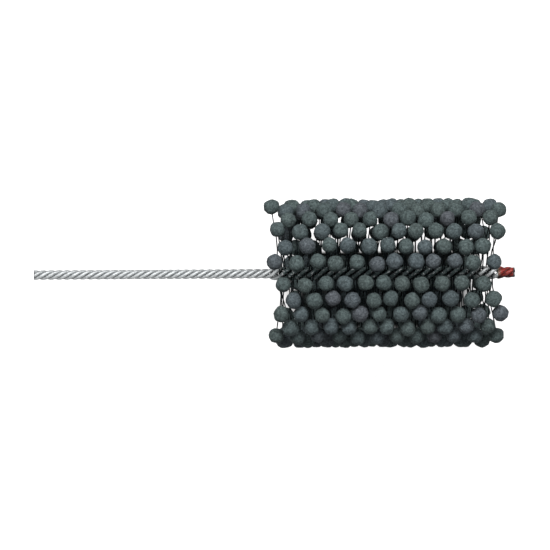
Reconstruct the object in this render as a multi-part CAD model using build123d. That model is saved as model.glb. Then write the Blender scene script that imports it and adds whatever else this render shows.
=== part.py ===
from build123d import *
import math
import os
import random

# Flexible ball hone: abrasive globules on nylon filaments gripped in a twisted-wire stem.
# Millimetres. The stem lies along X, from the shank's cut end at the origin to the red tip,
# with +Z up, and the tool lies on its head. Angles about the stem run from +Y towards +Z.

# Stem
TOOL_LENGTH = 203.2
STRANDS = 4
WIRE_DIA = 1.6
SHANK_LAY = 13.4
STRAND_GAP = 0.02
TIP_STRAND_GAP = 0.1
CRIMP_LENGTH = 4.0
BARE_TIP_LENGTH = 9.2
SPLINE_POINTS_PER_TURN = 16
FIT_TOLERANCE = 0.0005

# Red dip on the tip
DIP_LENGTH = 7.4
DIP_THICKNESS = 0.18
DIP_CLEARANCE = 0.02

# Filaments
FILAMENT_DIA = 0.56
FILAMENT_GAP = 0.105
FILAMENTS_PER_TURN = 24
ROOT_SPAN = 91.2
GRIP_CLEARANCE = 0.02
GRIP_STEPS = 8
RINGS = 23

# Globules
HEAD_DIA = 63.6
GLOBULE_DIA = 6.8
GLOBULE_DIA_SPREAD = 0.25
NECK_LENGTH = 0.9
NECK_DIA = 1.1
BORE_DEPTH = 1.7
BORE_CLEARANCE = 0.02

# How unevenly the filaments stand, measured at the globules
SWAY = 1.5
LOOSE_SWAY = 2.8
PARTING = 1.0
PARTING_WIDTH = 8.5
FLARE = 4.0
FLARE_DEPTH = 9.0
LEAST_FLARE = 0.1
MOST_AROUND = 1.2
MOST_ALONG = 3.0
REACH_SPREAD = 0.6
GLOBULE_GAP = 0.15
SETTLE_ROUNDS = 250
SEED = 11

filament_pitch = FILAMENT_DIA + FILAMENT_GAP
head_lay = FILAMENTS_PER_TURN * filament_pitch
filament_count = int(ROOT_SPAN / filament_pitch) + 1
last_root = TOOL_LENGTH - BARE_TIP_LENGTH
first_root = last_root - (filament_count - 1) * filament_pitch
centre_reach = (HEAD_DIA - GLOBULE_DIA) / 2
wire_end = TOOL_LENGTH - DIP_THICKNESS


class Filament:
    """One nylon filament, straight through the stem, with a globule on each end."""

    def __init__(self, index, rng):
        self.index = index
        self.root = first_root + index * filament_pitch
        # each filament lies square to the one before, and both turn with the strands
        half_row = 180 / FILAMENTS_PER_TURN
        layer = 90 * (index % 2)
        self.true_turn = math.radians(half_row + layer - 360 * index / FILAMENTS_PER_TURN)
        self.turn = self.true_turn
        self.lean = 0.0
        self.ends = [Globule(self, 1, rng), Globule(self, -1, rng)]

    def point(self, reach):
        """The place on the filament's axis at a signed distance from the stem's axis."""
        across = reach * math.cos(self.lean)
        along = reach * math.sin(self.lean)
        return (self.root + along, across * math.cos(self.turn), across * math.sin(self.turn))

    def direction(self):
        return Vector(self.point(1)) - Vector(self.point(0))

    def upper_end(self):
        return max(self.ends, key=lambda end: end.centre()[2])

    def sway(self, rng):
        """Set the filament off its true place, as twisting and handling leave it."""
        upper = self.upper_end()
        offset = upper.centre()[1]
        loose = LOOSE_SWAY if offset > 0 else SWAY
        around = rng.uniform(-loose, loose) / 2
        along = rng.uniform(-loose, loose) / 2
        # the rows along the top part a little and show the stem
        around -= math.copysign(PARTING, offset) * math.exp(-((offset / PARTING_WIDTH) ** 2))
        # the outermost filaments fan out past the ends of the head
        from_start = (self.root - first_root) / FLARE_DEPTH
        from_end = (last_root - self.root) / FLARE_DEPTH
        fan = math.exp(-from_end * from_end) - math.exp(-from_start * from_start)
        along += FLARE * fan * rng.uniform(LEAST_FLARE, 1)
        self.swing(upper.side * along, around)

    def swing(self, along, around):
        """Shift the first end along and around the stem, as far as the strands' grip allows."""
        most_turn = MOST_AROUND / centre_reach
        most_lean = MOST_ALONG / centre_reach
        turned = self.turn - self.true_turn + around / centre_reach
        self.turn = self.true_turn + max(-most_turn, min(most_turn, turned))
        self.lean = max(-most_lean, min(most_lean, self.lean + along / centre_reach))


class Globule:
    """One abrasive ball. side is 1 or -1, for the two ends of its filament."""

    def __init__(self, filament, side, rng):
        self.filament = filament
        self.side = side
        self.radius = (GLOBULE_DIA + rng.uniform(-1, 1) * GLOBULE_DIA_SPREAD) / 2
        self.reach = centre_reach + rng.uniform(-1, 1) * REACH_SPREAD / 2

    def outward(self):
        return self.filament.direction() * self.side

    def centre(self):
        return self.filament.point(self.side * self.reach)

    def neck_end_reach(self):
        """Distance from the stem's axis to the end of the neck."""
        return self.reach - self.radius - NECK_LENGTH

    def push(self, x, y, z):
        """Swing the filament so that this globule shifts by x, y and z."""
        turn = self.filament.turn
        around = z * math.cos(turn) - y * math.sin(turn)
        self.filament.swing(self.side * x, self.side * around)


def settle(globules):
    """Part the globules that sway has brought together, until none touch."""
    neighbourhood = 2 * GLOBULE_DIA
    pairs = []
    for i, one in enumerate(globules):
        for other in globules[i + 1 :]:
            if math.dist(one.centre(), other.centre()) < neighbourhood:
                pairs.append((one, other))
    for _ in range(SETTLE_ROUNDS):
        clashes = 0
        for one, other in pairs:
            here, there = one.centre(), other.centre()
            apart = math.dist(here, there)
            short = one.radius + other.radius + GLOBULE_GAP - apart
            if short > 0:
                clashes += 1
                share = short / apart / 2
                push = [share * (b - a) for a, b in zip(here, there)]
                other.push(*push)
                one.push(*[-shift for shift in push])
        if clashes == 0:
            break


def lay_filaments():
    rng = random.Random(SEED)
    filaments = [Filament(index, rng) for index in range(filament_count)]
    for filament in filaments:
        filament.sway(rng)
    settle([end for filament in filaments for end in filament.ends])
    return filaments


def ease(t):
    """Smooth step from 0 to 1."""
    t = min(max(t, 0), 1)
    return t * t * (3 - 2 * t)


def ease_sum(t):
    """Area under ease from 0 to t."""
    if t <= 0:
        return 0
    if t >= 1:
        return t - 0.5
    return t**3 - t**4 / 2


def strand_spacing(radius, lay):
    """Shortest distance between the centre lines of neighbouring strands."""
    shortest = math.inf
    for degrees in range(-180, 180):
        angle = math.radians(degrees)
        across = 2 * radius * math.sin((angle + 2 * math.pi / STRANDS) / 2)
        shortest = min(shortest, math.hypot(across, lay * angle / (2 * math.pi)))
    return shortest


def closed_radius(lay, gap):
    """Radius of the strands' centre lines where neighbouring strands lie gap apart."""
    low, high = WIRE_DIA / 2, STRANDS * WIRE_DIA
    while high - low > FIT_TOLERANCE:
        middle = (low + high) / 2
        if strand_spacing(middle, lay) < WIRE_DIA + gap:
            low = middle
        else:
            high = middle
    return high


class Stem:
    """The course of the strands: helix radius and twist at any place along the stem."""

    def __init__(self, filaments):
        self.shank_radius = closed_radius(SHANK_LAY, STRAND_GAP)
        self.tip_radius = closed_radius(SHANK_LAY, TIP_STRAND_GAP)
        self.opens_at = first_root - filament_pitch - CRIMP_LENGTH
        self.closes_at = last_root + filament_pitch
        # the strands stand 45 degrees to each side of every filament they grip
        half_step = math.pi / STRANDS
        half_row = math.radians(180 / FILAMENTS_PER_TURN)
        self.start_angle = half_row + half_step + self.twist(first_root)
        self.head_radius = self.gripping_radius(filaments)

    def twist(self, x):
        """Angle through which the strands have turned at x, left-handed from the shank's end."""
        opening = CRIMP_LENGTH * ease_sum((x - self.opens_at) / CRIMP_LENGTH)
        closing = CRIMP_LENGTH * ease_sum((x - self.closes_at) / CRIMP_LENGTH)
        change = 1 / head_lay - 1 / SHANK_LAY
        return 2 * math.pi * (x / SHANK_LAY + change * (opening - closing))

    def radius(self, x):
        opened = (self.head_radius - self.shank_radius) * ease((x - self.opens_at) / CRIMP_LENGTH)
        closed = (self.head_radius - self.tip_radius) * ease((x - self.closes_at) / CRIMP_LENGTH)
        return self.shank_radius + opened - closed

    def point(self, x, strand, radius):
        angle = self.start_angle - self.twist(x) + 2 * math.pi * strand / STRANDS
        return (x, radius * math.cos(angle), radius * math.sin(angle))

    def room(self, filament, radius):
        """Shortest distance from a filament's axis to the strands' centre lines at this radius."""
        shortest = math.inf
        root, ahead = filament.point(0), filament.point(1)
        for step in range(-GRIP_STEPS, GRIP_STEPS + 1):
            x = filament.root + step * WIRE_DIA / GRIP_STEPS
            for strand in range(STRANDS):
                place = self.point(x, strand, radius)
                reach = sum((p - r) * (a - r) for p, r, a in zip(place, root, ahead))
                shortest = min(shortest, math.dist(place, filament.point(reach)))
        return shortest

    def gripping_radius(self, filaments):
        """Smallest radius at which the strands close on the filaments without biting into them."""
        needed = (WIRE_DIA + FILAMENT_DIA) / 2 + GRIP_CLEARANCE
        low, high = self.shank_radius, STRANDS * self.shank_radius
        while high - low > FIT_TOLERANCE:
            middle = (low + high) / 2
            if min(self.room(filament, middle) for filament in filaments) < needed:
                low = middle
            else:
                high = middle
        return high


def strand_rod(stem, strand, dia, start, end):
    """A round rod of the given diameter that follows one strand, running past both start and end."""
    margin = dia
    step = SHANK_LAY / SPLINE_POINTS_PER_TURN
    count = math.ceil((end - start + 2 * margin) / step)
    places = [start - margin + (end - start + 2 * margin) * i / count for i in range(count + 1)]
    path = Spline(*[stem.point(x, strand, stem.radius(x)) for x in places])
    section = Plane(origin=path @ 0, z_dir=path % 0) * Circle(dia / 2)
    return sweep(section, path=path)


def slab(start, end):
    """All that lies between two cuts across the stem."""
    width = 2 * STRANDS * WIRE_DIA
    return Pos((start + end) / 2, 0, 0) * Box(end - start, width, width)


def stem_wire(stem, strand):
    """One galvanised wire of the stem, cropped square at both ends."""
    return strand_rod(stem, strand, WIRE_DIA, 0, wire_end) & slab(0, wire_end)


def tip_dip(stem):
    """The coat of red paint that binds the strands' ends, following their twist."""
    start = TOOL_LENGTH - DIP_LENGTH
    coated = WIRE_DIA + 2 * DIP_THICKNESS
    core = Pos(start, 0, 0) * Rot(0, 90, 0) * Cylinder(
        stem.tip_radius, DIP_LENGTH, align=(Align.CENTER, Align.CENTER, Align.MIN)
    )
    coat = core
    for strand in range(STRANDS):
        coat += strand_rod(stem, strand, coated, start, TOOL_LENGTH) & slab(start, TOOL_LENGTH)
    for strand in range(STRANDS):
        hollow = strand_rod(stem, strand, WIRE_DIA + 2 * DIP_CLEARANCE, start, TOOL_LENGTH)
        coat -= hollow & slab(start - WIRE_DIA, wire_end + DIP_CLEARANCE)
    return coat


def filament_rod(filament):
    """The nylon filament, from the bottom of one globule's bore to the bottom of the other's."""
    seats = [end.neck_end_reach() + BORE_DEPTH - BORE_CLEARANCE for end in filament.ends]
    axis = filament.direction()
    start = filament.point(-seats[1])
    rod = Cylinder(FILAMENT_DIA / 2, sum(seats), align=(Align.CENTER, Align.CENTER, Align.MIN))
    return Plane(origin=start, z_dir=axis) * rod


def globule_ball(globule):
    """A moulded abrasive globule: a ball drawn down to a short neck, with a blind bore for the filament."""
    radius = globule.radius
    neck_end = radius + NECK_LENGTH
    neck_radius = NECK_DIA / 2
    bore_radius = FILAMENT_DIA / 2 + BORE_CLEARANCE
    bore_end = BORE_DEPTH - neck_end
    # the neck's cone leaves the ball at a tangent
    slope = math.acos(radius / math.hypot(neck_end, neck_radius)) + math.atan2(neck_radius, neck_end)
    touch = (radius * math.sin(slope), -radius * math.cos(slope))
    ball = ThreePointArc((0, radius), (radius, 0), touch)
    neck = Polyline(
        touch,
        (neck_radius, -neck_end),
        (bore_radius, -neck_end),
        (bore_radius, bore_end),
        (0, bore_end),
        (0, radius),
    )
    section = Plane.XZ * make_face(ball + neck)
    return Plane(origin=globule.centre(), z_dir=globule.outward()) * revolve(section, Axis.Z)


def export(name, *pieces):
    solids = [solid for piece in pieces for solid in piece.solids()]
    shape = solids[0] if len(solids) == 1 else Compound(solids)
    export_step(shape, f"parts/{name}.step")


os.makedirs("parts", exist_ok=True)
filaments = lay_filaments()
stem = Stem(filaments)

for strand in range(STRANDS):
    export(f"stem_wire_{strand + 1}", stem_wire(stem, strand))
export("tip_dip", tip_dip(stem))

for ring in range(RINGS):
    start = ring * filament_count // RINGS
    end = (ring + 1) * filament_count // RINGS
    group = filaments[start:end]
    export(f"filaments_{ring + 1:02d}", *[filament_rod(filament) for filament in group])
    balls = [globule_ball(end) for filament in group for end in filament.ends]
    export(f"globules_{ring + 1:02d}", *balls)
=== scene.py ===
import bpy
import math
import random
from mathutils import Matrix, Vector


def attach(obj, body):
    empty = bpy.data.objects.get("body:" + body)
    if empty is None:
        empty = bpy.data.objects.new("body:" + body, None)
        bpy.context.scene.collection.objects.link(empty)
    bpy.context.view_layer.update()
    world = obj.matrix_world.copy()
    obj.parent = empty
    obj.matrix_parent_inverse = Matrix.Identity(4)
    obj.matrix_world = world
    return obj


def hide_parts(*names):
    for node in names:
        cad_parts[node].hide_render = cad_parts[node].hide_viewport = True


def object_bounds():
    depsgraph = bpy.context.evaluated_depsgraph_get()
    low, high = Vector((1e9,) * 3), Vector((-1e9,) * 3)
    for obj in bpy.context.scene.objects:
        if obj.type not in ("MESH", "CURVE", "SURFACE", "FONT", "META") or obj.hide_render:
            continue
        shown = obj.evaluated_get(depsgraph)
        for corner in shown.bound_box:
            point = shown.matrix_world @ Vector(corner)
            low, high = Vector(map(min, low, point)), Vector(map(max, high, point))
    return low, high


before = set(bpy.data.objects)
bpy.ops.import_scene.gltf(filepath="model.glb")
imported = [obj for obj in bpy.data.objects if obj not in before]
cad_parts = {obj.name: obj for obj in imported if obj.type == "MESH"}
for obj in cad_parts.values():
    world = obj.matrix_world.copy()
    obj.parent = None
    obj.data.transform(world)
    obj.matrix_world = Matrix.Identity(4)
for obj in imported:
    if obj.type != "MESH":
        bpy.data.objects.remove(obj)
cad_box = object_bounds()
bpy.ops.object.select_all(action="DESELECT")

# Flexible ball hone, lying on its head on a white table and seen from straight above.
# Metres. The stem lies along X, from the shank's cut end at the origin to the red tip.


# The view
# The camera looks straight down from a little over a metre, with the shank to the left and
# the red tip to the right. The tool lies a third of a degree off the picture's level.

MM = 0.001
CAMERA_HEIGHT = 1200 * MM
FIELD_WIDTH = 232.35 * MM
SENSOR_WIDTH = 36
NEAREST_SEEN = 10 * MM
AIM = Vector((101.8, -0.56, 0)) * MM
TOOL_TILT = math.radians(0.35)

bpy.ops.object.camera_add(location=AIM + Vector((0, 0, CAMERA_HEIGHT)), rotation=(0, 0, -TOOL_TILT))
camera = bpy.context.object
camera.data.sensor_width = SENSOR_WIDTH
camera.data.lens = SENSOR_WIDTH * CAMERA_HEIGHT / FIELD_WIDTH
camera.data.clip_start = NEAREST_SEEN
bpy.context.scene.camera = camera
bpy.context.scene.view_settings.view_transform = "Standard"


# Table and light
# A matt white laminate table top, lit by a wide softbox on the picture's upper side and a weak
# one overhead. To the camera the open table is white, also where it shows between the globules on
# the lit side. Under the head's other half and the stem, shade is painted onto it: dark rectangles
# in its colour, where its glow is taken away too.

FLOOR_SIZE = 6.0
WHITE_LAMINATE = "AEAEAE"
PAINTED_SHADE_LAMINATE = "4A4F4F"
TABLE_GLOW = 0.945
PAINTED_SHADES_MM = (
    # the centre, size and soft edge of each painted shade rectangle: shaded half, middle rows and
    # stem
    ((147.5, -10, 0), (85, 43, 1), 9),
    ((147.5, 0.3, 0), (75, 19.6, 1), 1.5),
    ((150, -0.6, 0), (95, 4, 1), 1.5))
ROOM_LIGHT = 0.03
LAMPS = (
    # name, height, width, distance, elevation over the picture's upper side, and share of the
    # table's full light. The overhead one leans a little past straight up.
    ("wide_softbox", 0.4, 1.6, 1.5, math.radians(62), 1.11),
    ("overhead_softbox", 0.8, 0.8, 1.5, math.radians(100), 0.1))


def srgb(code):
    """A colour written as six hex digits, as the linear values that a shader takes."""
    channels = [int(code[i:i + 2], 16) / 255 for i in (0, 2, 4)]
    return [c / 12.92 if c <= 0.04045 else ((c + 0.055) / 1.055) ** 2.4 for c in channels] + [1]


def add_node(tree, kind, inputs=None, **settings):
    """Adds a node. Its inputs take values, or the outputs of other nodes."""
    node = tree.nodes.new(kind)
    for name, value in settings.items():
        setattr(node, name, value)
    for name, value in (inputs or {}).items():
        if isinstance(value, bpy.types.NodeSocket):
            tree.links.new(value, node.inputs[name])
        else:
            node.inputs[name].default_value = value
    return node


def new_material(name):
    """A material with an empty Principled shader. Returns its node tree and the shader too."""
    material = bpy.data.materials.new(name)
    material.use_nodes = True
    tree = material.node_tree
    return material, tree, tree.nodes["Principled BSDF"]


bpy.ops.mesh.primitive_plane_add(size=FLOOR_SIZE, location=(0, 0, cad_box[0][2]))
bpy.ops.object.transform_apply(location=True)
table = bpy.context.object
table.name = "table_top"

# melamine laminate, pressed matt: an even white with no highlight, and dark where shade is painted
# on
laminate, tree, shader = new_material("matt_white_laminate")
shader.inputs["Roughness"].default_value = 0.9
shader.inputs["Specular IOR Level"].default_value = 0.2
shader.inputs["Emission Color"].default_value = (1, 1, 1, 1)
place = add_node(tree, "ShaderNodeTexCoord")
open_table = 1.0
for centre, size, edge in PAINTED_SHADES_MM:
    centred = add_node(
        tree, "ShaderNodeVectorMath",
        {0: place.outputs["Object"], 1: Vector(centre) * MM}, operation="SUBTRACT")
    distance = add_node(
        tree, "ShaderNodeVectorMath", {0: centred.outputs["Vector"]}, operation="ABSOLUTE")
    past_side = add_node(
        tree, "ShaderNodeVectorMath",
        {0: distance.outputs["Vector"], 1: Vector(size) * MM / 2}, operation="SUBTRACT")
    apart = add_node(tree, "ShaderNodeSeparateXYZ", {"Vector": past_side.outputs["Vector"]})
    nearest = add_node(
        tree, "ShaderNodeMath",
        {0: apart.outputs["X"], 1: apart.outputs["Y"]}, operation="MAXIMUM")
    outside = add_node(
        tree, "ShaderNodeMapRange",
        {"Value": nearest.outputs["Value"], "From Min": -edge * MM, "From Max": 0.0})
    beyond = add_node(
        tree, "ShaderNodeMath",
        {0: outside.outputs["Result"], 1: open_table}, operation="MINIMUM")
    open_table = beyond.outputs["Value"]
# the rectangles are painted shade: a dark table colour, and no glow to the camera there
colour = add_node(
    tree, "ShaderNodeMixRGB",
    {"Fac": open_table, "Color1": srgb(PAINTED_SHADE_LAMINATE), "Color2": srgb(WHITE_LAMINATE)})
tree.links.new(colour.outputs["Color"], shader.inputs["Base Color"])
# only the camera sees the open table's own glow, which adds no light to the tool
rays = add_node(tree, "ShaderNodeLightPath")
seen = add_node(
    tree, "ShaderNodeMath",
    {0: rays.outputs["Is Camera Ray"], 1: open_table}, operation="MULTIPLY")
glow = add_node(
    tree, "ShaderNodeMath",
    {0: seen.outputs["Value"], 1: TABLE_GLOW}, operation="MULTIPLY")
tree.links.new(glow.outputs["Value"], shader.inputs["Emission Strength"])
table.data.materials.append(laminate)

# a white room to the camera and in reflections, which gives the tool little light
world = bpy.data.worlds.new("white_room")
world.use_nodes = True
bpy.context.scene.world = world
tree = world.node_tree
rays = add_node(tree, "ShaderNodeLightPath")
mirrored = add_node(
    tree, "ShaderNodeMath",
    {0: rays.outputs["Is Glossy Ray"], 1: rays.outputs["Is Transmission Ray"]}, operation="MAXIMUM")
seen = add_node(
    tree, "ShaderNodeMath",
    {0: rays.outputs["Is Camera Ray"], 1: mirrored.outputs["Value"]}, operation="MAXIMUM")
level = add_node(
    tree, "ShaderNodeMapRange",
    {"Value": seen.outputs["Value"], "To Min": ROOM_LIGHT, "To Max": 1.0})
background = tree.nodes["Background"]
background.inputs["Color"].default_value = (1, 1, 1, 1)
tree.links.new(level.outputs["Result"], background.inputs["Strength"])

for name, height, width, distance, elevation, share in LAMPS:
    direction = Vector((0, math.cos(elevation), math.sin(elevation)))
    bpy.ops.object.light_add(type="AREA", location=Vector((AIM.x, 0, 0)) + distance * direction)
    lamp = bpy.context.object
    lamp.name = name
    lamp.rotation_euler = direction.to_track_quat("Z", "X").to_euler()
    lamp.data.shape = "RECTANGLE"
    lamp.data.size = height
    lamp.data.size_y = width
    lamp.data.energy = share * (math.pi * distance) ** 2 / math.sin(elevation)


# Stem wires
# Four galvanised steel wires, twisted together left-handed round the filaments and cropped at
# both ends. The zinc is bright on the crowns of the strands and darker in the grooves, which is
# painted shade with a little dirt. Inside the head shade is painted on it: dark and not metal,
# with patches of bare zinc.

ZINC_CROWN = "B6B9BA"
ZINC_GROOVE_SHADE_AND_DIRT = "A0A3A5"
ZINC_ROUGHNESS = {"To Min": 0.5, "To Max": 0.7}
HEAD_SHADE_COLOUR = "414D4D"
GROOVE_RADIUS = 1.2 * MM
CROWN_RADIUS = 1.9 * MM
SPANGLE_SIZE = 0.9 * MM
SPANGLE_LEVELS = {"From Min": 0.3, "From Max": 0.7, "To Min": 0.6, "To Max": 1.15}
HEAD_SHADE_START = 106 * MM
HEAD_SHADE_END = 185 * MM
HEAD_SHADE_EDGE = 5 * MM
HEAD_SHADE_PATCHES = {"From Min": 0.55, "From Max": 0.65, "To Min": 1.0, "To Max": 0.3}
CUT_GREY = 0.45
CUT_LENGTH = 0.9 * MM


def crown_light_share(tree, place, groove_radius, crown_radius):
    """0 in the grooves between the strands and 1 on their crowns, by distance from the axis; it
    places painted shade.
    """
    across = add_node(
        tree, "ShaderNodeVectorMath",
        {0: place.outputs["Object"], 1: (0, 1, 1)}, operation="MULTIPLY")
    radius = add_node(
        tree, "ShaderNodeVectorMath", {0: across.outputs["Vector"]}, operation="LENGTH")
    share = add_node(
        tree, "ShaderNodeMapRange",
        {"Value": radius.outputs["Value"], "From Min": groove_radius, "From Max": crown_radius})
    return share.outputs["Result"]


# galvanised steel, drawn and then twisted: a light grey metal with a soft sheen, mottled by its
# spangle, which is drawn coarser than the real one so that it shows. Shade is painted into its
# colour in the grooves and inside the head.
zinc, tree, shader = new_material("galvanised_steel_wire")
place = add_node(tree, "ShaderNodeTexCoord")
crown_light = crown_light_share(tree, place, GROOVE_RADIUS, CROWN_RADIUS)
wear = add_node(
    tree, "ShaderNodeTexNoise",
    {"Vector": place.outputs["Object"], "Scale": 1 / SPANGLE_SIZE, "Detail": 3.0, "Roughness": 0.6})
# painted shade: darker in the grooves between the strands, with a little dirt
metal = add_node(
    tree, "ShaderNodeMixRGB",
    {"Fac": crown_light, "Color1": srgb(ZINC_GROOVE_SHADE_AND_DIRT), "Color2": srgb(ZINC_CROWN)})
mottle = add_node(tree, "ShaderNodeMapRange", {"Value": wear.outputs["Fac"], **SPANGLE_LEVELS})
apart = add_node(tree, "ShaderNodeSeparateXYZ", {"Vector": place.outputs["Object"]})
# painted shade inside the head, where the globules shade the stem: dark and not metal, in patches
shade_in = add_node(
    tree, "ShaderNodeMapRange",
    {"Value": apart.outputs["X"], "From Min": HEAD_SHADE_START - HEAD_SHADE_EDGE, "From Max": HEAD_SHADE_START})
shade_out = add_node(
    tree, "ShaderNodeMapRange",
    {"Value": apart.outputs["X"], "From Min": HEAD_SHADE_END + HEAD_SHADE_EDGE, "From Max": HEAD_SHADE_END})
head_shade = add_node(
    tree, "ShaderNodeMath",
    {0: shade_in.outputs["Result"], 1: shade_out.outputs["Result"]}, operation="MULTIPLY")
shade_patches = add_node(tree, "ShaderNodeMapRange", {"Value": wear.outputs["Fac"], **HEAD_SHADE_PATCHES})
shade_cover = add_node(
    tree, "ShaderNodeMath",
    {0: head_shade.outputs["Value"], 1: shade_patches.outputs["Result"]}, operation="MULTIPLY")
# darker over the first CUT_LENGTH from the shank's cut end
cut = add_node(
    tree, "ShaderNodeMapRange",
    {"Value": apart.outputs["X"], "From Max": CUT_LENGTH, "To Min": CUT_GREY})
dulled = add_node(
    tree, "ShaderNodeMath",
    {0: mottle.outputs["Result"], 1: cut.outputs["Result"]}, operation="MULTIPLY")
shaded = add_node(
    tree, "ShaderNodeVectorMath",
    {0: metal.outputs["Color"], "Scale": dulled.outputs["Value"]}, operation="SCALE")
colour = add_node(
    tree, "ShaderNodeMixRGB",
    {"Fac": shade_cover.outputs["Value"], "Color1": shaded.outputs["Vector"],
     "Color2": srgb(HEAD_SHADE_COLOUR)})
tree.links.new(colour.outputs["Color"], shader.inputs["Base Color"])
bare = add_node(
    tree, "ShaderNodeMath", {0: 1.0, 1: shade_cover.outputs["Value"]}, operation="SUBTRACT")
tree.links.new(bare.outputs["Value"], shader.inputs["Metallic"])
satin = add_node(tree, "ShaderNodeMapRange", {"Value": wear.outputs["Fac"], **ZINC_ROUGHNESS})
tree.links.new(satin.outputs["Result"], shader.inputs["Roughness"])
shader.inputs["Specular IOR Level"].default_value = 0.15

for name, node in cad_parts.items():
    if name.startswith("stem_wire"):
        node.data.materials.clear()
        node.data.materials.append(zinc)


# Filaments
# Extruded black nylon bristles, about half a millimetre thick. Each is cut to length, laid
# between the wires before they are twisted, and bows a little between stem and globule.

NYLON_BLACK = "070F11"
DRAW_MARK_SIZE = 0.8 * MM
DRAW_MARK_LEVELS = {"To Min": 0.6, "To Max": 1.5}
FILAMENT_SIDES = 6
FILAMENT_STEPS = 10
BOW = 0.3 * MM
BUNCHING = 1.0 * MM
BOW_SEED = 5
END_DEPTH = 0.2 * MM
MERGE_DISTANCE = 0.001 * MM
SMOOTH_ANGLE = math.radians(50)

# nylon, dyed black and extruded: almost black, with a dull sheen that its fine marks make uneven,
# and the marks are coarser here than the real ones so that they show
nylon, tree, shader = new_material("black_nylon_filament")
place = add_node(tree, "ShaderNodeTexCoord")
draw = add_node(
    tree, "ShaderNodeTexNoise",
    {"Vector": place.outputs["Object"], "Scale": 1 / DRAW_MARK_SIZE, "Detail": 2.0})
tone = add_node(tree, "ShaderNodeMapRange", {"Value": draw.outputs["Fac"], **DRAW_MARK_LEVELS})
shaded = add_node(
    tree, "ShaderNodeVectorMath",
    {0: srgb(NYLON_BLACK)[:3], "Scale": tone.outputs["Result"]}, operation="SCALE")
tree.links.new(shaded.outputs["Vector"], shader.inputs["Base Color"])
shader.inputs["Roughness"].default_value = 0.5
shader.inputs["IOR"].default_value = 1.53
shader.inputs["Specular IOR Level"].default_value = 0.1


def merged_copy(node, name):
    """A copy of a CAD node, alone selected, with its loose triangles joined at their corners."""
    copy = bpy.data.objects.new(name, node.data.copy())
    bpy.context.scene.collection.objects.link(copy)
    bpy.ops.object.select_all(action="DESELECT")
    copy.select_set(True)
    bpy.context.view_layer.objects.active = copy
    bpy.ops.object.mode_set(mode="EDIT")
    bpy.ops.mesh.select_all(action="SELECT")
    bpy.ops.mesh.remove_doubles(threshold=MERGE_DISTANCE)
    bpy.ops.object.mode_set(mode="OBJECT")
    return copy


def solids_of(node):
    """The corner points of each separate solid in a CAD node."""
    merged_copy(node, "solids")
    bpy.ops.object.mode_set(mode="EDIT")
    bpy.ops.mesh.separate(type="LOOSE")
    bpy.ops.object.mode_set(mode="OBJECT")
    parts = list(bpy.context.selected_objects)
    points = [[v.co.copy() for v in part.data.vertices] for part in parts]
    bpy.ops.object.delete()
    return sorted(points, key=lambda corners: tuple(sum(corners, Vector())))


def middle_of(points):
    return sum(points, Vector()) / len(points)


def far_end(points, start):
    """The middle of the end face that lies farthest from start."""
    farthest = max(points, key=lambda p: (p - start).length) - start
    along = farthest.normalized()
    return middle_of([p for p in points if (p - start).dot(along) > farthest.length - END_DEPTH])


def join_pieces(pieces, name, material):
    """Joins the copies that stand for one CAD node."""
    bpy.ops.object.select_all(action="DESELECT")
    for piece in pieces:
        piece.select_set(True)
    bpy.context.view_layer.objects.active = pieces[0]
    bpy.ops.object.join()
    joined = bpy.context.object
    joined.name = name
    joined.data.name = name
    joined.data.materials.clear()
    joined.data.materials.append(material)
    bpy.ops.object.shade_smooth_by_angle(angle=SMOOTH_ANGLE)
    return joined


def copy_of(master, matrix):
    """A copy of a modelled master, with its own mesh, shaped and placed by a matrix."""
    copy = bpy.data.objects.new(master.name, master.data.copy())
    bpy.context.scene.collection.objects.link(copy)
    copy.data.transform(matrix)
    return copy


# one filament of unit length and unit thickness, upright on the origin
bpy.ops.mesh.primitive_cylinder_add(
    vertices=FILAMENT_SIDES, radius=0.5, depth=1, end_fill_type="NGON", location=(0, 0, 0.5))
filament_master = bpy.context.object
filament_master.name = "filament_master"
bpy.ops.object.transform_apply(location=True)
for step in range(1, FILAMENT_STEPS):
    bpy.ops.object.mode_set(mode="EDIT")
    bpy.ops.mesh.select_all(action="SELECT")
    bpy.ops.mesh.bisect(plane_co=(0, 0, step / FILAMENT_STEPS), plane_no=(0, 0, 1))
    bpy.ops.object.mode_set(mode="OBJECT")

bows = random.Random(BOW_SEED)
for name, node in sorted(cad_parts.items()):
    if not name.startswith("filaments"):
        continue
    solids = solids_of(node)
    bunch = middle_of([middle_of(points) for points in solids])
    rods = []
    for points in solids:
        middle = middle_of(points)
        top = far_end(points, middle)
        foot = far_end(points, top)
        axis = top - foot
        thickness = 2 * (points[0] - top).cross(axis.normalized()).length
        turn = axis.to_track_quat("Z", "Y").to_matrix().to_4x4()
        shape = Matrix.Diagonal((thickness, thickness, axis.length, 1))
        rod = copy_of(filament_master, Matrix.Translation(foot) @ turn @ shape)
        # each half bows towards its bunch and a little to any side, while its ends stay put
        bends = []
        for end in (foot, top):
            side = bows.uniform(0, 2 * math.pi)
            random_bow = turn @ Vector((math.cos(side), math.sin(side), 0)) * bows.uniform(0, BOW)
            inward = (bunch - (middle + end) / 2).x
            bends.append(random_bow + Vector((max(-BUNCHING, min(BUNCHING, inward)), 0, 0)))
        for vertex in rod.data.vertices:
            along = (vertex.co - foot).dot(axis) / axis.length_squared
            vertex.co += bends[0 if along < 0.5 else 1] * math.sin(2 * math.pi * along) ** 2
        rods.append(rod)
    row = join_pieces(rods, name.replace("filaments", "bristles"), nylon)
    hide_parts(name)
    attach(row, "root")
bpy.data.objects.remove(filament_master)


# Globules
# Abrasive grit bonded in resin and moulded as a ball round the end of each filament, drawn down
# to a short neck. Matt slate grey, a little lumpy, and each a slightly different tint.

MASTERS = 8
CUBE_CUTS = 3
LUMP = 0.06
LUMP_SMOOTHING = 0.5
NECK_LENGTH = 0.9 * MM
NECK_FOOT = -0.93
NECK_INSET = 0.25
NECK_FLATNESS = 0.2
NECK_REACH = 0.24
NECK_TAPER = 0.75
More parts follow.
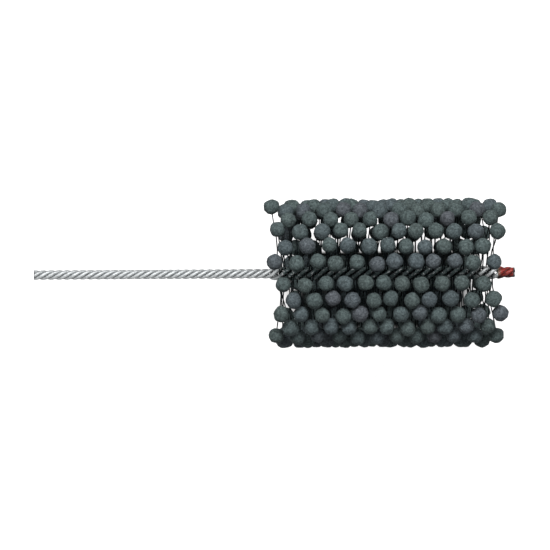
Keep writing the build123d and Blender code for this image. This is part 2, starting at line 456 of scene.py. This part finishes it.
# each ball's two widths and its height, as shares of the moulded size
WIDTHS = (0.97, 1.01)
BALL_HEIGHT = 0.985
TINT_SEED = 8
SLATE_GREEN = "515C5B"
LATER_SLATES = ((0.45, "515D5D"), (0.8, "535D61"), (1.0, "565A5F"))
GRAIN_SIZE = 0.6 * MM
GRAIN_LEVELS = {"To Min": 0.66, "To Max": 1.36}
GRIT_SIZE = 1.1 * MM
GRIT_LEVELS = {"From Min": 0.35, "From Max": 0.65, "To Min": 0.68, "To Max": 1.26}
GRIT_RELIEF = {"Strength": 0.8, "Distance": 0.2 * MM}
LUMP_SIZE = 1.8 * MM
LUMP_RELIEF = {"Strength": 0.5, "Distance": 0.5 * MM}

# abrasive grit in resin, moulded and cured: a dry, matt slate grey that is speckled and pitted by
# its grit, which is drawn several times as coarse as the real one so that it shows
abrasive, tree, shader = new_material("bonded_abrasive_grit")
place = add_node(tree, "ShaderNodeTexCoord")
tint = add_node(tree, "ShaderNodeAttribute", attribute_name="tint")
tints = add_node(tree, "ShaderNodeValToRGB", {"Fac": tint.outputs["Fac"]})
ramp = tints.color_ramp
ramp.elements.remove(ramp.elements[1])
ramp.elements[0].color = srgb(SLATE_GREEN)
for position, slate in LATER_SLATES:
    ramp.elements.new(position).color = srgb(slate)
grit = add_node(
    tree, "ShaderNodeTexNoise",
    {"Vector": place.outputs["Object"], "Scale": 1 / GRIT_SIZE, "Detail": 3.0, "Roughness": 0.7})
lumps = add_node(
    tree, "ShaderNodeTexNoise",
    {"Vector": place.outputs["Object"], "Scale": 1 / LUMP_SIZE, "Detail": 2.0})
grains = add_node(
    tree, "ShaderNodeTexVoronoi",
    {"Vector": place.outputs["Object"], "Scale": 1 / GRAIN_SIZE, "Randomness": 1.0})
grain = add_node(tree, "ShaderNodeSeparateColor", {"Color": grains.outputs["Color"]})
patches = add_node(tree, "ShaderNodeMapRange", {"Value": grit.outputs["Fac"], **GRIT_LEVELS})
speckle = add_node(tree, "ShaderNodeMapRange", {"Value": grain.outputs["Red"], **GRAIN_LEVELS})
level = add_node(
    tree, "ShaderNodeMath",
    {0: patches.outputs["Result"], 1: speckle.outputs["Result"]}, operation="MULTIPLY")
shaded = add_node(
    tree, "ShaderNodeVectorMath",
    {0: tints.outputs["Color"], "Scale": level.outputs["Value"]}, operation="SCALE")
tree.links.new(shaded.outputs["Vector"], shader.inputs["Base Color"])
shader.inputs["Roughness"].default_value = 0.8
shader.inputs["IOR"].default_value = 1.5
shader.inputs["Specular IOR Level"].default_value = 0.15
coarse = add_node(tree, "ShaderNodeBump", {"Height": lumps.outputs["Fac"], **LUMP_RELIEF})
fine = add_node(
    tree, "ShaderNodeBump",
    {"Height": grit.outputs["Fac"], "Normal": coarse.outputs["Normal"], **GRIT_RELIEF})
tree.links.new(fine.outputs["Normal"], shader.inputs["Normal"])

# globules of unit radius, with the neck pointing down
globule_masters = []
for number in range(MASTERS):
    bpy.ops.mesh.primitive_cube_add(size=2)
    master = bpy.context.object
    master.name = "globule_master"
    bpy.ops.object.mode_set(mode="EDIT")
    bpy.ops.mesh.select_mode(type="FACE")
    bpy.ops.mesh.select_all(action="SELECT")
    bpy.ops.mesh.subdivide(number_cuts=CUBE_CUTS)
    bpy.ops.transform.tosphere(value=1)
    bpy.ops.object.mode_set(mode="OBJECT")
    bpy.ops.transform.resize(value=[1 / master.data.vertices[0].co.length] * 3)
    bpy.ops.object.transform_apply(scale=True)
    bpy.ops.object.mode_set(mode="EDIT")
    bpy.ops.transform.vertex_random(offset=LUMP, uniform=1, normal=1, seed=number)
    bpy.ops.mesh.vertices_smooth(factor=LUMP_SMOOTHING, repeat=1)
    bpy.ops.mesh.select_all(action="DESELECT")
    bpy.ops.object.mode_set(mode="OBJECT")
    for face in master.data.polygons:
        face.select = face.center.z < NECK_FOOT
    bpy.ops.object.mode_set(mode="EDIT")
    bpy.ops.mesh.inset(thickness=NECK_INSET)
    bpy.ops.transform.resize(value=(1, 1, NECK_FLATNESS))
    bpy.ops.mesh.extrude_region_move(TRANSFORM_OT_translate={"value": (0, 0, -NECK_REACH)})
    bpy.ops.transform.resize(value=(NECK_TAPER, NECK_TAPER, 1))
    bpy.ops.object.mode_set(mode="OBJECT")
    # the lumps and the smoothing have changed the ball's size, so its mean radius is set again
    reaches = [vertex.co.length for vertex in master.data.vertices if vertex.co.z > NECK_FOOT]
    master.data.transform(Matrix.Scale(len(reaches) / sum(reaches), 4))
    globule_masters.append(master)

tints_drawn = random.Random(TINT_SEED)
for name, node in sorted(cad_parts.items()):
    if not name.startswith("globules"):
        continue
    balls = []
    for points in solids_of(node):
        middle = middle_of(points)
        neck = far_end(points, middle)
        outward = (middle - neck).normalized()
        length = max((p - neck).dot(outward) for p in points)
        ball_radius = (length - NECK_LENGTH) / 2
        centre = neck + outward * (ball_radius + NECK_LENGTH)
        turn = outward.to_track_quat("Z", "Y").to_matrix().to_4x4()
        spin = Matrix.Rotation(tints_drawn.uniform(0, 2 * math.pi), 4, "Z")
        master = globule_masters[tints_drawn.randrange(MASTERS)]
        widths = [tints_drawn.uniform(*WIDTHS) * ball_radius for _ in range(2)]
        shape = Matrix.Diagonal((*widths, BALL_HEIGHT * ball_radius, 1))
        ball = copy_of(master, Matrix.Translation(centre) @ turn @ spin @ shape)
        tint_layer = ball.data.attributes.new("tint", "FLOAT", "POINT")
        tint_value = tints_drawn.random()
        tint_layer.data.foreach_set("value", [tint_value] * len(ball.data.vertices))
        balls.append(ball)
    cluster = join_pieces(balls, name.replace("globules", "abrasive_globules"), abrasive)
    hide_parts(name)
    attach(cluster, "root")
for master in globule_masters:
    bpy.data.objects.remove(master)


# Red dip
# The tip is dipped in red enamel, which follows the twist of the strands and binds their ends.
# It is thin and ragged where it stops. Shade is painted into its red: bright on the crowns, dark in
# the grooves, and darker on its end and along its shaded side.

STEM_LENGTH = 203.2 * MM
DIP_START = 195.8 * MM
ENAMEL_CROWN = "9C2F26"
ENAMEL_GROOVE_SHADE = "3E1311"
ENAMEL_GROOVE_RADIUS = 1.7 * MM
ENAMEL_CROWN_RADIUS = 2.2 * MM
RUN_SIZE = 1.1 * MM
RUN_LEVELS = {"From Min": 0.35, "From Max": 0.65, "To Min": 0.4, "To Max": 1.35}
THIN_ENAMEL = "857868"
RAGGEDNESS = 2.0 * MM
THICK_FROM = DIP_START + 2.5 * MM - RAGGEDNESS
THIN_BEFORE = DIP_START - RAGGEDNESS / 2
ENAMEL_SHADE = "241516"
SHADED_END = 1.1 * MM
SHADED_END_EDGE = 0.33 * MM
SHADED_SIDE = -0.9 * MM
SHADED_SIDE_EDGE = 0.8 * MM
SHADED_SIDE_COVER = 0.85
DIP_VOXEL = 0.11 * MM
SKIN_SMOOTHING = 3
END_ROUNDING = 1.2 * MM
END_DRAW = 0.25
END_INSET = 0.02 * MM

# enamel paint, dipped: a glossy red, darkened by painted shade in the grooves, streaked where it
# ran, and thin and brownish over the zinc at its edge
enamel, tree, shader = new_material("red_dip_enamel")
place = add_node(tree, "ShaderNodeTexCoord")
crown_light = crown_light_share(tree, place, ENAMEL_GROOVE_RADIUS, ENAMEL_CROWN_RADIUS)
# painted shade: dark in the grooves, bright on the crowns
red = add_node(
    tree, "ShaderNodeMixRGB",
    {"Fac": crown_light, "Color1": srgb(ENAMEL_GROOVE_SHADE), "Color2": srgb(ENAMEL_CROWN)})
runs = add_node(
    tree, "ShaderNodeTexNoise",
    {"Vector": place.outputs["Object"], "Scale": 1 / RUN_SIZE, "Detail": 2.0})
apart = add_node(tree, "ShaderNodeSeparateXYZ", {"Vector": place.outputs["Object"]})
streaks = add_node(tree, "ShaderNodeMapRange", {"Value": runs.outputs["Fac"], **RUN_LEVELS})
streaked = add_node(
    tree, "ShaderNodeVectorMath",
    {0: red.outputs["Color"], "Scale": streaks.outputs["Result"]}, operation="SCALE")
wander = add_node(
    tree, "ShaderNodeMath",
    {0: runs.outputs["Fac"], 1: RAGGEDNESS}, operation="MULTIPLY")
along = add_node(
    tree, "ShaderNodeMath",
    {0: apart.outputs["X"], 1: wander.outputs["Value"]}, operation="SUBTRACT")
thin = add_node(
    tree, "ShaderNodeMapRange",
    {"Value": along.outputs["Value"], "From Min": THICK_FROM, "From Max": THIN_BEFORE})
edged = add_node(
    tree, "ShaderNodeMixRGB",
    {"Fac": thin.outputs["Result"], "Color1": streaked.outputs["Vector"],
     "Color2": srgb(THIN_ENAMEL)})
# painted shade: darker over the rounded end and along the side away from the lamps
end_shade = add_node(
    tree, "ShaderNodeMapRange",
    {"Value": apart.outputs["X"], "From Min": STEM_LENGTH - SHADED_END,
     "From Max": STEM_LENGTH - SHADED_END + SHADED_END_EDGE})
side = add_node(
    tree, "ShaderNodeMapRange",
    {"Value": apart.outputs["Y"], "From Min": SHADED_SIDE,
     "From Max": SHADED_SIDE - SHADED_SIDE_EDGE, "To Max": SHADED_SIDE_COVER})
painted_shade = add_node(
    tree, "ShaderNodeMath",
    {0: end_shade.outputs["Result"], 1: side.outputs["Result"]}, operation="MAXIMUM")
colour = add_node(
    tree, "ShaderNodeMixRGB",
    {"Fac": painted_shade.outputs["Value"], "Color1": edged.outputs["Color"], "Color2": srgb(ENAMEL_SHADE)})
tree.links.new(colour.outputs["Color"], shader.inputs["Base Color"])
shader.inputs["Roughness"].default_value = 0.3
shader.inputs["IOR"].default_value = 1.5
shader.inputs["Specular IOR Level"].default_value = 0.35

# the coat and the strands inside it, made one closed skin of paint
layers = []
for name, node in sorted(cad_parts.items()):
    if name != "tip_dip" and not name.startswith("stem_wire"):
        continue
    layer = merged_copy(node, "dip_layer")
    if name != "tip_dip":
        bpy.ops.object.mode_set(mode="EDIT")
        bpy.ops.mesh.select_all(action="SELECT")
        bpy.ops.mesh.bisect(
            plane_co=(DIP_START, 0, 0), plane_no=(1, 0, 0), use_fill=True, clear_inner=True)
        bpy.ops.object.mode_set(mode="OBJECT")
    layers.append(layer)
coat = join_pieces(layers, "red_enamel_dip", enamel)
coat.modifiers.new("one_skin", "REMESH").mode = "VOXEL"
coat.modifiers["one_skin"].voxel_size = DIP_VOXEL
coat.modifiers["one_skin"].use_smooth_shade = True
bpy.ops.object.modifier_apply(modifier="one_skin")
coat.modifiers.new("rounding", "SMOOTH").iterations = SKIN_SMOOTHING
bpy.ops.object.modifier_apply(modifier="rounding")
# the paint draws in to a rounded end
end = max(vertex.co.x for vertex in coat.data.vertices)
for vertex in coat.data.vertices:
    drawn = max(0.0, 1 - (end - vertex.co.x) / END_ROUNDING)
    vertex.co.yz *= 1 - END_DRAW * drawn ** 2
    vertex.co.x -= END_INSET * drawn
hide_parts("tip_dip")
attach(coat, "root")
